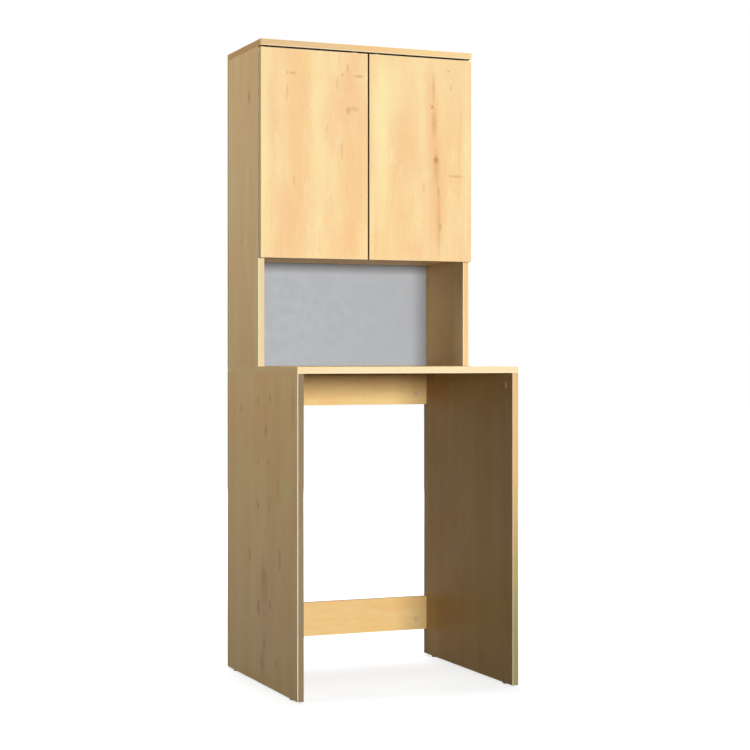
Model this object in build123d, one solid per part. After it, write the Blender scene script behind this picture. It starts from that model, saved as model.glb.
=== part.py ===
# Tall laundry cabinet: a deep open appliance bay below, and a shallower upper unit on its worktop.
# The upper unit has an open niche and, above it, a cupboard with two handleless doors.
# Frame: origin on the floor at the centre of the footprint, +X to the right seen from the front,
# +Y towards the wall, +Z up. All sizes are in millimetres.
import math
import os

from build123d import *

# Overall sizes
overall_width = 650.0
overall_depth = 600.0
overall_height = 1800.0
worktop_height = 886.0
upper_depth = 300.0
board = 18.0
band = 1.0
edge_radius = 0.6
slip = 0.1
gap = 0.3
overrun = 1.0

# Doors
door_board = 18.0
door_to_side = 2.0
door_reveal = 1.0
door_meeting_gap = 5.0
door_top_gap = 5.0
door_bottom_height = 1190.0

# Boards behind the doors
base_drop_gap = 2.0
shelf_setback = 20.0
shelf_end_gap = 1.0
shelf_back_gap = 4.0

# Back panel in its grooves
back_board = 3.0
back_inset = 12.0
groove_depth = 8.0
groove_slack = 0.2

# Rails across the rear of the bay
rail_height = 100.0
low_rail_height = 80.0

# Floor glides
glide_radius = 9.0
glide_height = 4.0
glide_edge = 1.0
glide_nail_radius = 1.2
glide_nail_length = 16.0
glide_inset = 60.0

# Cam fittings, long screws and dowels
cam_radius = 7.5
cam_depth = 12.5
cam_setback = 34.0
cam_cavity_radius = 3.8
cam_cross_width = 1.6
cam_cross_length = 9.0
cam_cross_depth = 3.0
bolt_radius = 3.0
bolt_head_radius = 3.5
bolt_head_length = 4.0
bolt_thread = 11.0
bolt_bore_radius = 4.0
cover_radius = 8.5
cover_thickness = 0.8
cover_boss_radius = 1.8
cover_boss_height = 1.5
long_screw_radius = 3.0
long_screw_grip = 34.0
long_screw_head_radius = 5.0
long_screw_head = 4.0
long_screw_socket = 2.3
dowel_radius = 4.0
dowel_chamfer = 1.0
dowel_half_length = 15.0
dowel_in_face = 12.0
fitting_inset = 45.0
dowel_offset = 40.0
rail_cam_height = 32.0
rail_dowel_height = 75.0

# Shelf pins and their rows of holes
pin_radius = 2.5
pin_depth = 8.0
pin_collar_radius = 4.0
pin_collar_thickness = 0.8
pin_tongue_length = 9.0
pin_tongue_width = 8.0
pin_tongue_thickness = 3.0
pin_hole_depth = 11.0
pin_pitch = 32.0
pin_row_margin = 130.0
pin_front_setback = 50.0
pin_rear_setback = 220.0

# Concealed hinges, in plan: across from the side panel's outer face, back from the door's rear face
hinge_end_distance = 90.0
cup_radius = 17.5
cup_depth = 11.5
cup_wall = 0.9
cup_edge_distance = 4.0
cup_bore_slack = 0.1
cup_lip = 1.8
ear_offset = 5.5
ear_width = 13.0
ear_spacing = 48.0
ear_end = 6.5
cheek_gap = 11.2
cheek_thickness = 1.4
cheek_from_edge = 2.2
cheek_length = 13.0
cheek_top_gap = 0.8
cup_pin_across = 12.0
cup_pin_deep = 5.0
arm_pin_across = 38.0
arm_pin_back = 6.5
hinge_pin_radius = 1.5
hinge_pin_length = 13.6
link_width = 9.0
link_thickness = 2.2
link_bulge = 7.0
link_eye_radius = 2.8
link_bore_slack = 0.1
door_swing_degrees = 100.0
link_turn_share = 0.30
arm_width = 13.6
arm_wall = 1.5
arm_lug_radius = 3.5
arm_shoulder_back = 17.0
arm_low_back = 36.0
arm_low_height = 16.5
arm_rear_back = 86.0
arm_foot_front = 24.0
arm_foot_gap = 0.4
arm_web_front = 11.5
arm_lug_slope = 9.0
plate_base = 2.5
plate_wing_height = 48.0
plate_wing_width = 15.0
plate_screw_back = 37.0
plate_screw_spacing = 32.0
plate_rail_front = 20.0
plate_rail_rear = 78.0
plate_rail_width = 9.6
plate_rail_height = 10.0
fixing_screw_back = 68.0
adjuster_back = 46.0
arm_screw_radius = 2.0
arm_screw_head_radius = 3.6
arm_screw_head = 1.8
arm_screw_grip = 5.0
plate_screw_radius = 2.4
plate_screw_length = 11.0
plate_screw_head_radius = 3.6
plate_screw_head = 2.0
cup_screw_radius = 1.6
cup_screw_length = 12.0
cup_screw_head_radius = 3.2
cup_screw_head = 1.6

# Push latches under the top panel
latch_from_centre = 34.0
latch_axis_drop = 13.0
latch_width = 14.0
latch_height = 20.0
latch_length = 76.0
latch_front_gap = 4.0
latch_flange_width = 34.0
latch_flange_thickness = 2.5
latch_flange_length = 20.0
latch_flange_back = 14.0
latch_end_wall = 3.0
latch_corner = 1.5
plunger_radius = 4.4
plunger_tail = 30.0
plunger_tip_radius = 3.6
plunger_tip_length = 3.0
plunger_travel = 12.0
plunger_rest_gap = 0.3
spring_wire = 0.5
spring_radius = 3.4
spring_turns = 8
latch_screw_spacing = 25.0
latch_screw_radius = 1.6
latch_screw_length = 12.0
latch_screw_head_radius = 3.0
latch_screw_head = 1.6
striker_radius = 7.5
striker_thickness = 1.6
striker_screw_radius = 1.5
striker_screw_length = 10.0
striker_screw_head_radius = 2.6
striker_screw_head = 1.0
bumper_radius = 4.0
bumper_height = 1.5
bumper_inset = 14.0

# Wall brackets under the top panel
bracket_spacing = 400.0
bracket_width = 30.0
bracket_leg = 40.0
bracket_sheet = 2.0
bracket_hole_radius = 3.0
bracket_hole_drop = 24.0
back_hole_radius = 4.0
bracket_screw_radius = 2.0
bracket_screw_length = 13.0
bracket_screw_head_radius = 3.8
bracket_screw_head = 2.0
bracket_screw_setback = 24.0
bracket_bend_radius = 1.5
bracket_screw_pair = 14.0

# Places worked out from the sizes above
half_width = overall_width / 2
wall_y = overall_depth / 2
front_y = -overall_depth / 2
upper_front_y = wall_y - upper_depth
door_back_y = upper_front_y + door_board
side_front_y = door_back_y + door_to_side
inner_x = half_width - board
bay_ceiling = worktop_height - board
top_underside = overall_height - board
door_top_height = top_underside - door_top_gap
base_underside = door_bottom_height + base_drop_gap
base_top = base_underside + board
cupboard_room = top_underside - base_top
shelf_height = base_top + (cupboard_room - board) / 2
pin_rows_each_way = int((cupboard_room / 2 - pin_row_margin) / pin_pitch)
back_rear_y = wall_y - back_inset
back_front_y = back_rear_y - back_board
groove_rear_y = back_rear_y + groove_slack
groove_front_y = back_front_y - groove_slack
hinge_heights = (door_bottom_height + hinge_end_distance, door_top_height - hinge_end_distance)
cup_across = door_reveal + cup_edge_distance + cup_radius


def block(x0, x1, y0, y1, z0, z1):
    """A box between two corners."""
    corner = Pos(min(x0, x1), min(y0, y1), min(z0, z1))
    return corner * Box(abs(x1 - x0), abs(y1 - y0), abs(z1 - z0), align=(Align.MIN, Align.MIN, Align.MIN))


def rod(start, direction, radius, length):
    """A cylinder that leaves start along direction."""
    return Plane(origin=start, z_dir=direction).location * Cylinder(
        radius, length, align=(Align.CENTER, Align.CENTER, Align.MIN)
    )


def write(name, *shapes):
    """One STEP file for each sub-part, with its pieces as separate solids."""
    solids = [solid for shape in shapes for solid in shape.solids()]
    export_step(Compound(children=solids), f"parts/{name}.step")


def cut(shape, tools):
    """shape without each of the tools."""
    for tool in tools:
        shape = shape - tool
    return shape


def ease(strip, across, side, along):
    """Rounds the two long corners of an edge band, round its outer face."""
    return fillet(strip.faces().sort_by(across)[side].edges().filter_by(along), edge_radius)


def both_sides(shape):
    """A piece of the left side, and its mirror image on the right."""
    return [shape, mirror(shape, about=Plane.YZ)]


# Fittings that join two boards. Their own frame has its origin in the middle of the joint,
# +Z out of the end of the first board into the face of the second, and +X towards the cam's open side.


def cam_lock():
    """The round lock, with its cavity for the bolt's head and a cross slot in its face."""
    face_x = board / 2
    body = rod((face_x - cam_depth, 0, -cam_setback), (1, 0, 0), cam_radius - slip, cam_depth)
    cavity = rod((0, 0, -cam_setback - cam_cavity_radius), (0, 0, 1), cam_cavity_radius, cam_setback)
    reach, half = cam_cross_length / 2, cam_cross_width / 2
    slot = block(face_x - cam_cross_depth, face_x, -reach, reach, -half, half)
    cross = Pos(0, 0, -cam_setback) * (slot + Rot(90, 0, 0) * slot)
    return body - cavity - cross


def cam_bolt():
    """The bolt, screwed into the second board, with its head in the lock."""
    shank = rod((0, 0, -cam_setback), (0, 0, 1), bolt_radius, cam_setback + bolt_thread)
    head = rod((0, 0, -cam_setback - bolt_head_length / 2), (0, 0, 1), bolt_head_radius, bolt_head_length)
    return shank + head


def cam_cover():
    """The flat cap over the lock."""
    disc = rod((board / 2, 0, -cam_setback), (1, 0, 0), cover_radius, cover_thickness)
    boss_radius = cam_cross_width / 2 - slip
    boss = rod((board / 2 - cover_boss_height, 0, -cam_setback), (1, 0, 0), boss_radius, cover_boss_height)
    rim = disc.edges().group_by(Axis.X)[-1]
    return fillet(rim, cover_thickness / 2) + boss


def cam_cuts():
    """What a lock and bolt need out of the first board, and out of the second."""
    lock = rod((board / 2 - cam_depth, 0, -cam_setback), (1, 0, 0), cam_radius, cam_depth + overrun)
    bore = rod((0, 0, -cam_setback), (0, 0, 1), bolt_bore_radius, cam_setback + overrun)
    thread = rod((0, 0, -overrun), (0, 0, 1), bolt_radius + slip, bolt_thread + overrun + overrun)
    return lock + bore, thread


def dowel():
    """A wooden dowel across the joint."""
    peg = rod((0, 0, -dowel_half_length), (0, 0, 1), dowel_radius, dowel_half_length + dowel_in_face)
    return chamfer(peg.edges().filter_by(GeomType.CIRCLE), dowel_chamfer)


def dowel_cuts():
    """The holes for a dowel in the first board and in the second."""
    radius = dowel_radius + slip
    first = rod((0, 0, -dowel_half_length - gap), (0, 0, 1), radius, dowel_half_length + gap + overrun)
    second = rod((0, 0, -overrun), (0, 0, 1), radius, dowel_in_face + gap + overrun)
    return first, second


def long_screw():
    """A countersunk furniture screw, up through the second board into the end of the first."""
    top = board - gap
    seat = top - long_screw_head
    head = rod((0, 0, seat), (0, 0, 1), long_screw_head_radius, long_screw_head)
    shank = rod((0, 0, -long_screw_grip), (0, 0, 1), long_screw_radius, long_screw_grip + seat)
    socket = extrude(RegularPolygon(long_screw_socket, side_count=6), long_screw_head)
    return head + shank - Pos(0, 0, top - long_screw_head / 2) * socket


def long_screw_cuts():
    """The holes for a long screw in the first board and in the second."""
    radius = long_screw_radius + slip
    first = rod((0, 0, -long_screw_grip - gap), (0, 0, 1), radius, long_screw_grip + gap + overrun)
    through = rod((0, 0, -overrun), (0, 0, 1), radius, board + overrun)
    seat = board - gap - long_screw_head
    sunk = rod((0, 0, seat), (0, 0, 1), long_screw_head_radius + slip, board - seat + overrun)
    return first, through + sunk


def joint_frame(point, out, access):
    """The frame of a joint."""
    return Plane(origin=point, x_dir=access, z_dir=out).location


def rail_bottoms():
    """The height of each rail's lower edge."""
    return {"rear_rail_top": bay_ceiling - rail_height, "rear_rail_low": low_rail_height}


def carcass_joints():
    """The joints of the left half: the kind of fitting, the two boards and the frame of each fitting."""
    edge_x = -half_width + board / 2
    base_z = base_underside + board / 2
    rail_y = wall_y - board / 2
    up, down, left, right, forwards = (0, 0, 1), (0, 0, -1), (-1, 0, 0), (1, 0, 0), (0, -1, 0)
    joints = []
    for kind, step, rail_step in (("cam", 0, rail_cam_height), ("dowel", dowel_offset, rail_dowel_height)):
        low = (front_y + fitting_inset + step, wall_y - fitting_inset - step)
        high = (side_front_y + fitting_inset + step, groove_front_y - fitting_inset - step)
        foot_kind = "long_screw" if kind == "cam" else kind
        feet = [joint_frame((edge_x, y, worktop_height), down, right) for y in high]
        joints.append((foot_kind, "upper_side", "worktop", feet))
        heads = [joint_frame((edge_x, y, top_underside), up, right) for y in high]
        joints.append((kind, "upper_side", "top_panel", heads))
        ends = [joint_frame((-inner_x, y, base_z), left, down) for y in high]
        joints.append((kind, "cupboard_base", "upper_side", ends))
        heads = [joint_frame((edge_x, y, bay_ceiling), up, right) for y in low]
        joints.append((kind, "lower_side", "worktop", heads))
        for rail, bottom in rail_bottoms().items():
            end = joint_frame((-inner_x, rail_y, bottom + rail_step), left, forwards)
            joints.append((kind, rail, "lower_side", [end]))
    return joints


def fitting_kinds():
    """Each kind of fitting: its pieces by node, and what the first and the second board lose."""
    cam = {"cam_locks": cam_lock(), "cam_bolts": cam_bolt(), "cam_covers": cam_cover()}
    return {
        "cam": (cam, cam_cuts()),
        "dowel": ({"dowels": dowel()}, dowel_cuts()),
        "long_screw": ({"long_screws": long_screw()}, long_screw_cuts()),
    }


def fittings(cuts):
    """Makes every fitting of the carcass, and notes in cuts what each board loses."""
    kinds = fitting_kinds()
    made = {}
    for kind, first, second, places in carcass_joints():
        pieces, (first_cut, second_cut) = kinds[kind]
        for place in places:
            cuts[first].append(place * first_cut)
            cuts[second].append(place * second_cut)
            for name, piece in pieces.items():
                made.setdefault(name, []).extend(both_sides(place * piece))
    return made


# Floor glides


def glide_places():
    """Where the glides stand under the left lower side."""
    side_x = -half_width + board / 2
    return [(side_x, front_y + glide_inset), (side_x, wall_y - glide_inset)]


def glide(x, y):
    """A round pad with a nail."""
    foot = rod((x, y, 0), (0, 0, 1), glide_radius, glide_height)
    foot = fillet(foot.edges().group_by(Axis.Z)[0], glide_edge)
    return foot + rod((x, y, glide_height / 2), (0, 0, 1), glide_nail_radius, glide_nail_length)


# Concealed hinges. plan() turns hinge measures into the row frame for the left door.


def plan(across, back, height):
    """A point of the left hinge in the row frame."""
    return (-half_width + across, door_back_y + back, height)


def plate_at(height, low, high, outline):
    """A plate with that outline in plan, between two heights measured from the hinge's middle."""
    points = [plan(across, back, height + low) for across, back in outline]
    face = make_face(Polyline(*points, close=True))
    return extrude(face, high - low, dir=(0, 0, 1))


def hinge_cup(height):
    """The cup in the door, with its two screw ears and the two cheeks that hold its pin."""
    centre = plan(cup_across, 0, height)
    inner = cup_radius - cup_wall
    rim = rod(centre, (0, 1, 0), cup_radius + cup_lip, cup_wall)
    shell = rod(centre, (0, -1, 0), cup_radius, cup_depth) + rim
    ear_length = ear_spacing / 2 + ear_end
    ear_x = centre[0] + ear_offset
    ear_x0, ear_x1 = ear_x - ear_width / 2, ear_x + ear_width / 2
    ear_y = door_back_y + cup_wall
    ears = block(ear_x0, ear_x1, door_back_y, ear_y, height - ear_length, height + ear_length)
    ears = fillet(ears.edges().filter_by(Axis.Y), ear_width / 3)
    mouth = rod(plan(cup_across, cup_wall + overrun, height), (0, -1, 0), inner, cup_depth + overrun)
    cup = shell + ears - mouth
    well_depth = cup_depth - cheek_top_gap
    well = rod(plan(cup_across, -cheek_top_gap, height), (0, -1, 0), inner + cup_wall / 2, well_depth)
    start = plan(cup_across - cup_radius + cheek_from_edge, 0, height)[0]
    for sign in (-1, 1):
        near = height + sign * cheek_gap / 2
        far = near + sign * cheek_thickness
        cheek = block(start, start + cheek_length, door_back_y - cup_depth, door_back_y, near, far)
        cup = cup + (cheek & well)
    return cut(cup, [pin_hole(cup_pin_across, -cup_pin_deep, height)] + cup_screw_holes(height))


def cup_screw_places(height):
    """Where the cup's two screws stand."""
    return [plan(cup_across + ear_offset, 0, height + sign * ear_spacing / 2) for sign in (-1, 1)]


def cup_screw_holes(height):
    """The holes for the cup's screws through its ears and into the door."""
    radius, long = cup_screw_radius + slip, cup_screw_length + overrun + gap
    starts = [(x, y + cup_wall + overrun, z) for x, y, z in cup_screw_places(height)]
    return [rod(start, (0, -1, 0), radius, long) for start in starts]


def screw(seat, direction, radius, length, head_radius, head):
    """A plain screw: a domed head with a cross in it on seat, and its shank along direction."""
    cap = Cylinder(head_radius, head, align=(Align.CENTER, Align.CENTER, Align.MIN))
    cap = fillet(cap.edges().filter_by(GeomType.CIRCLE).sort_by(Axis.Z)[-1], head / 2)
    arm = Pos(0, 0, head) * Box(head_radius, head_radius / 4, head)
    shank = rod((0, 0, 0), (0, 0, -1), radius, length)
    outwards = tuple(-part for part in direction)
    return Plane(origin=seat, z_dir=outwards).location * (cap - arm - Rot(0, 0, 90) * arm + shank)


def pin_hole(across, back, height):
    """A hole for a hinge pin."""
    long = hinge_pin_length + overrun + overrun
    return rod(plan(across, back, height - long / 2), (0, 0, 1), hinge_pin_radius + slip / 2, long)


def hinge_pin(across, back, height):
    """A hinge pin."""
    start = plan(across, back, height - hinge_pin_length / 2)
    return rod(start, (0, 0, 1), hinge_pin_radius, hinge_pin_length)


def hinge_link(height):
    """The curved link from the arm's pin to the cup's pin: an arc with an eye at each end."""
    near, far = Vector(cup_pin_across, -cup_pin_deep), Vector(arm_pin_across, arm_pin_back)
    chord = far - near
    radius = (chord.length / 2) ** 2 / (2 * link_bulge) + link_bulge / 2
    normal = Vector(chord.Y, -chord.X) / chord.length
    middle = (near + far) / 2
    centre = middle - normal * (radius - link_bulge)

    def on_arc(point, size):
        ray = (point - centre) / (point - centre).length
        return plan((centre + ray * size).X, (centre + ray * size).Y, height - link_width / 2)

    outer, inner = radius + link_thickness / 2, radius - link_thickness / 2
    peak = middle + normal * link_bulge
    rim = ThreePointArc(on_arc(near, outer), on_arc(peak, outer), on_arc(far, outer))
    core = ThreePointArc(on_arc(near, inner), on_arc(peak, inner), on_arc(far, inner))
    ends = [Line(rim @ 0, core @ 0), Line(rim @ 1, core @ 1)]
    link = extrude(make_face([rim, core] + ends), link_width, dir=(0, 0, 1))
    for point in (near, far):
        start = plan(point.X, point.Y, height - link_width / 2)
        link = link + rod(start, (0, 0, 1), link_eye_radius, link_width)
    for point in (near, far):
        start = plan(point.X, point.Y, height - link_width)
        link = link - rod(start, (0, 0, 1), hinge_pin_radius + link_bore_slack, link_width * 2)
    return link


def hinge_arm(height):
    """The hinge's arm: a channel, open towards the side panel, with two lugs for its pin."""
    foot = board + plate_base + arm_foot_gap
    top = arm_pin_across + arm_lug_radius
    low_top = foot + arm_low_height
    lug_edge = arm_pin_across - arm_lug_radius
    skin = [
        (foot, arm_foot_front), (foot, arm_rear_back), (low_top, arm_rear_back), (low_top, arm_low_back),
        (top, arm_shoulder_back), (top, arm_pin_back),
        (lug_edge, arm_pin_back), (lug_edge, arm_pin_back + arm_lug_slope),
    ]
    hollow = [
        (foot - overrun, arm_foot_front - overrun), (foot - overrun, arm_rear_back + overrun),
        (low_top - arm_wall, arm_rear_back + overrun), (low_top - arm_wall, arm_low_back),
        (top - arm_wall, arm_shoulder_back), (top - arm_wall, arm_web_front),
        (top + overrun, arm_web_front), (top + overrun, -overrun), (foot - overrun, -overrun),
    ]
    half = arm_width / 2
    arm = plate_at(height, -half, half, skin)
    arm = arm + rod(plan(arm_pin_across, arm_pin_back, height - half), (0, 0, 1), arm_lug_radius, arm_width)
    arm = arm - plate_at(height, -half + arm_wall, half - arm_wall, hollow)
    holes = [pin_hole(arm_pin_across, arm_pin_back, height)]
    for back in (fixing_screw_back, adjuster_back):
        start = plan(foot, back, height)
        holes.append(rod(start, (1, 0, 0), arm_screw_radius + slip, arm_low_height + overrun))
    return cut(arm, holes)


def arm_screw_seat():
    """How far across the arm's web its screws sit."""
    return board + plate_base + arm_foot_gap + arm_low_height


def arm_screws(height):
    """The fixing screw and the adjusting screw of one arm."""
    size = (arm_screw_radius, arm_wall + arm_screw_grip, arm_screw_head_radius, arm_screw_head)
    seats = [plan(arm_screw_seat(), back, height) for back in (fixing_screw_back, adjuster_back)]
    return [screw(seat, (-1, 0, 0), *size) for seat in seats]


def mounting_plate(height):
    """The plate on the side panel: two wings with screws, and a rail that the arm sits over."""
    middle = door_to_side + plate_screw_back
    x0, x1 = plan(board, 0, height)[0], plan(board + plate_base, 0, height)[0]
    y0, y1 = plan(0, middle - plate_wing_width / 2, 0)[1], plan(0, middle + plate_wing_width / 2, 0)[1]
    wings = block(x0, x1, y0, y1, height - plate_wing_height / 2, height + plate_wing_height / 2)
    wings = fillet(wings.edges().filter_by(Axis.X), plate_wing_width / 3)
    rail_y0, rail_y1 = plan(0, plate_rail_front, 0)[1], plan(0, plate_rail_rear, 0)[1]
    foot = block(x0, x1, rail_y0, rail_y1, height - arm_width / 2, height + arm_width / 2)
    rail_top = board + plate_base + plate_rail_height
    rail_half = plate_rail_width / 2
    rail = block(x0, plan(rail_top, 0, 0)[0], rail_y0, rail_y1, height - rail_half, height + rail_half)
    plate = wings + foot + rail
    holes = [hole for _, hole in plate_screws(height)]
    for back in (fixing_screw_back, adjuster_back):
        start = plan(rail_top + overrun, back, height)
        holes.append(rod(start, (-1, 0, 0), arm_screw_radius + slip, plate_rail_height + plate_base))
    return cut(plate, holes)


def plate_screws(height):
    """Each screw of a mounting plate, with the hole it needs."""
    pairs = []
    long = plate_base + plate_screw_length
    size = (plate_screw_radius, long, plate_screw_head_radius, plate_screw_head)
    for sign in (-1, 1):
        z = height + sign * plate_screw_spacing / 2
        seat = plan(board + plate_base, door_to_side + plate_screw_back, z)
        start = (seat[0] + overrun, seat[1], seat[2])
        hole = rod(start, (-1, 0, 0), plate_screw_radius + slip, long + overrun + gap)
        pairs.append((screw(seat, (-1, 0, 0), *size), hole))
    return pairs


def hinges(cuts):
    """The left door's hinges, by node, and what they take out of the door and the side."""
    made = {name: [] for name in (
        "hinge_cups", "hinge_cup_pins", "hinge_cup_screws", "hinge_links",
        "hinge_arms", "hinge_arm_pins", "hinge_arm_screws", "hinge_plates", "hinge_plate_screws",
    )}
    for height in hinge_heights:
        made["hinge_cups"].append(hinge_cup(height))
        made["hinge_cup_pins"].append(hinge_pin(cup_pin_across, -cup_pin_deep, height))
        made["hinge_links"].append(hinge_link(height))
        made["hinge_arms"].append(hinge_arm(height))
        made["hinge_arm_pins"].append(hinge_pin(arm_pin_across, arm_pin_back, height))
        made["hinge_arm_screws"] += arm_screws(height)
        made["hinge_plates"].append(mounting_plate(height))
        size = (cup_screw_radius, cup_screw_length, cup_screw_head_radius, cup_screw_head)
        for x, y, z in cup_screw_places(height):
            made["hinge_cup_screws"].append(screw((x, y + cup_wall, z), (0, -1, 0), *size))
        for body, hole in plate_screws(height):
            made["hinge_plate_screws"].append(body)
            cuts["upper_side"].append(hole)
        pocket_radius, pocket_depth = cup_radius + cup_bore_slack, cup_depth + cup_bore_slack
        pocket = rod(plan(cup_across, overrun, height), (0, -1, 0), pocket_radius, pocket_depth + overrun)
        cuts["door"] += [pocket] + cup_screw_holes(height)
    return made


def screw_holes(places, radius, length):
    """The holes for screws that go up from their places."""
    return [rod((x, y, z - overrun), (0, 0, 1), radius + slip, length + overrun) for x, y, z in places]


# Push latch of the left door, under the top panel


def latch_axis():
    """The line of the plunger: its x and its height."""
    return -latch_from_centre, top_underside - latch_axis_drop


def striker_face_y():
    """The rear face of the striker on the door."""
    return door_back_y + striker_thickness


def latch_body():
    """The latch's housing, with a flange for its screws and a blind bore for the plunger."""
    x, z = latch_axis()
    y0 = door_back_y + latch_front_gap
    housing_z = top_underside - latch_height
    half = latch_width / 2
    housing = block(x - half, x + half, y0, y0 + latch_length, housing_z, top_underside)
    housing = fillet(housing.edges().group_by(Axis.Z)[0], latch_corner)
    flange_y = y0 + latch_flange_back
    flange_z = top_underside - latch_flange_thickness
    wide = latch_flange_width / 2
    flange = block(x - wide, x + wide, flange_y, flange_y + latch_flange_length, flange_z, top_underside)
    bore_depth = latch_length - latch_end_wall
    bore = rod((x, y0 - overrun, z), (0, 1, 0), plunger_radius + gap, bore_depth + overrun)
    through = latch_flange_thickness + overrun
    return cut(housing + flange - bore, screw_holes(latch_screw_places(), latch_screw_radius, through))


def latch_screw_places():
    """The underside of the flange at each of its screws."""
    x, _ = latch_axis()
    y = door_back_y + latch_front_gap + latch_flange_back + latch_flange_length / 2
    z = top_underside - latch_flange_thickness
    return [(x + sign * latch_screw_spacing / 2, y, z) for sign in (-1, 1)]


def latch_screws():
    """The two screws of the latch."""
    size = (latch_screw_radius, latch_screw_length, latch_screw_head_radius, latch_screw_head)
    return [screw(place, (0, 0, 1), *size) for place in latch_screw_places()]


def plunger_ends():
    """Where the plunger's body starts and ends, front to back."""
    tip = striker_face_y() + plunger_rest_gap
    return tip, tip + plunger_tip_length, door_back_y + latch_front_gap + plunger_tail


def plunger():
    """The plunger, with a narrower magnetic tip."""
    x, z = latch_axis()
    tip, shoulder, tail = plunger_ends()
    nose = rod((x, tip, z), (0, 1, 0), plunger_tip_radius, plunger_tip_length)
    stem = rod((x, shoulder, z), (0, 1, 0), plunger_radius, tail - shoulder)
    return nose + stem


def latch_spring():
    """The coil spring behind the plunger, in the closed end of the bore."""
    x, z = latch_axis()
    _, _, tail = plunger_ends()
    start = tail + gap + spring_wire
    end = door_back_y + latch_front_gap + latch_length - latch_end_wall - gap - spring_wire
    coil = Helix(pitch=(end - start) / spring_turns, height=end - start, radius=spring_radius)
    section = Plane(origin=coil @ 0, z_dir=coil % 0) * Circle(spring_wire)
    return Plane(origin=(x, start, z), z_dir=(0, 1, 0)).location * sweep(section, coil, is_frenet=True)


def striker():
    """The round steel plate on the door, and its screw."""
    x, z = latch_axis()
    plate = rod((x, door_back_y, z), (0, 1, 0), striker_radius, striker_thickness)
    seat = (x, striker_face_y() - striker_screw_head, z)
    hole = rod(seat, (0, -1, 0), striker_screw_radius + slip, striker_thickness)
    sunk = rod(seat, (0, 1, 0), striker_screw_head_radius + slip, striker_screw_head + overrun)
    shank = rod(seat, (0, -1, 0), striker_screw_radius, striker_screw_length)
    head = rod(seat, (0, 1, 0), striker_screw_head_radius, striker_screw_head)
    return plate - hole - sunk, head + shank


def striker_hole():
    """The hole in the door for the striker's screw."""
    x, z = latch_axis()
    depth = striker_screw_length + overrun
    return rod((x, door_back_y + overrun, z), (0, -1, 0), striker_screw_radius + slip, depth)


# Doors


def door_edges():
    """The left door's left, right, lower and upper edges."""
    return -half_width + door_reveal, -door_meeting_gap / 2, door_bottom_height, door_top_height


def door_panel(tools):
    """The left door's board, without its edge bands."""
    x0, x1, z0, z1 = door_edges()
    return cut(block(x0 + band, x1 - band, upper_front_y, door_back_y, z0 + band, z1 - band), tools)


def door_bands():
    """The four edge bands of the left door."""
    x0, x1, z0, z1 = door_edges()
    front, back = upper_front_y, door_back_y
    return [
        ease(block(x0, x0 + band, front, back, z0, z1), Axis.X, 0, Axis.Z),
        ease(block(x1 - band, x1, front, back, z0, z1), Axis.X, -1, Axis.Z),
        ease(block(x0 + band, x1 - band, front, back, z0, z0 + band), Axis.Z, 0, Axis.X),
        ease(block(x0 + band, x1 - band, front, back, z1 - band, z1), Axis.Z, -1, Axis.X),
    ]


def door_bumper():
    """A soft pad with a round rim, in the lower corner at the left door's free edge."""
    _, x1, z0, _ = door_edges()
    pad = rod((x1 - bumper_inset, door_back_y, z0 + bumper_inset), (0, 1, 0), bumper_radius, bumper_height)
    return fillet(pad.edges().group_by(Axis.Y)[-1], bumper_height / 2)


# Boards and their edge bands


def front_band(x0, x1, y, z0, z1, long_axis):
    """An edge band on a board's front edge."""
    return ease(block(x0, x1, y, y + band, z0, z1), Axis.Y, 0, long_axis)


def side_band(x, y0, y1, z0, z1):
    """An edge band on the left end of a board."""
    return ease(block(x, x + band, y0, y1, z0, z1), Axis.X, 0, Axis.Y)


def lower_side(tools):
    """The left side panel of the bay."""
    return cut(block(-half_width, -inner_x, front_y + band, wall_y, glide_height, bay_ceiling), tools)


def upper_side(tools):
    """The left side panel of the upper unit, with its groove for the back panel."""
    panel = block(-half_width, -inner_x, side_front_y + band, wall_y, worktop_height, top_underside)
    x0, x1 = -inner_x - groove_depth, -inner_x + overrun
    z0, z1 = worktop_height - overrun, top_underside + overrun
    return cut(panel, [block(x0, x1, groove_front_y, groove_rear_y, z0, z1)] + tools)


def shelf_pin_places():
    """The y of the two pin rows and the heights of their holes."""
    ys = (side_front_y + pin_front_setback, side_front_y + pin_rear_setback)
    middle = shelf_height - pin_collar_radius
    return ys, [middle + pin_pitch * step for step in range(-pin_rows_each_way, pin_rows_each_way + 1)]


def shelf_pin_holes():
    """Two rows of blind holes in the left side panel."""
    ys, heights = shelf_pin_places()
    starts = [(-inner_x + overrun, y, z) for y in ys for z in heights]
    return [rod(start, (-1, 0, 0), pin_radius + slip, pin_hole_depth + overrun) for start in starts]


def shelf_pins():
    """The two pins that carry the left end of the shelf."""
    ys, _ = shelf_pin_places()
    z = shelf_height - pin_collar_radius
    pins = []
    for y in ys:
        shank = rod((-inner_x, y, z), (-1, 0, 0), pin_radius, pin_depth)
        collar = rod((-inner_x, y, z), (1, 0, 0), pin_collar_radius, pin_collar_thickness)
        y0, y1 = y - pin_tongue_width / 2, y + pin_tongue_width / 2
        z0 = shelf_height - pin_tongue_thickness
        tongue = block(-inner_x, -inner_x + pin_tongue_length, y0, y1, z0, shelf_height)
        pins.append(shank + collar + tongue)
    return pins


def across_board(y0, y1, z0, z1, tools):
    """A board between the side panels."""
    both = [tool for each in tools for tool in both_sides(each)]
    return cut(block(-inner_x, inner_x, y0, y1, z0, z1), both)


def capping_board(y0, z0, z1, tools):
    """A full-width board that lies on the side panels, without its edge bands."""
    both = [tool for each in tools for tool in both_sides(each)]
    return cut(block(-half_width + band, half_width - band, y0 + band, wall_y, z0, z1), both)


def capping_bands(y0, z0, z1):
    """The front band and the two end bands of a full-width board."""
    front = front_band(-half_width + band, half_width - band, y0, z0, z1, Axis.X)
    return [front] + both_sides(side_band(-half_width, y0, wall_y, z0, z1))


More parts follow.
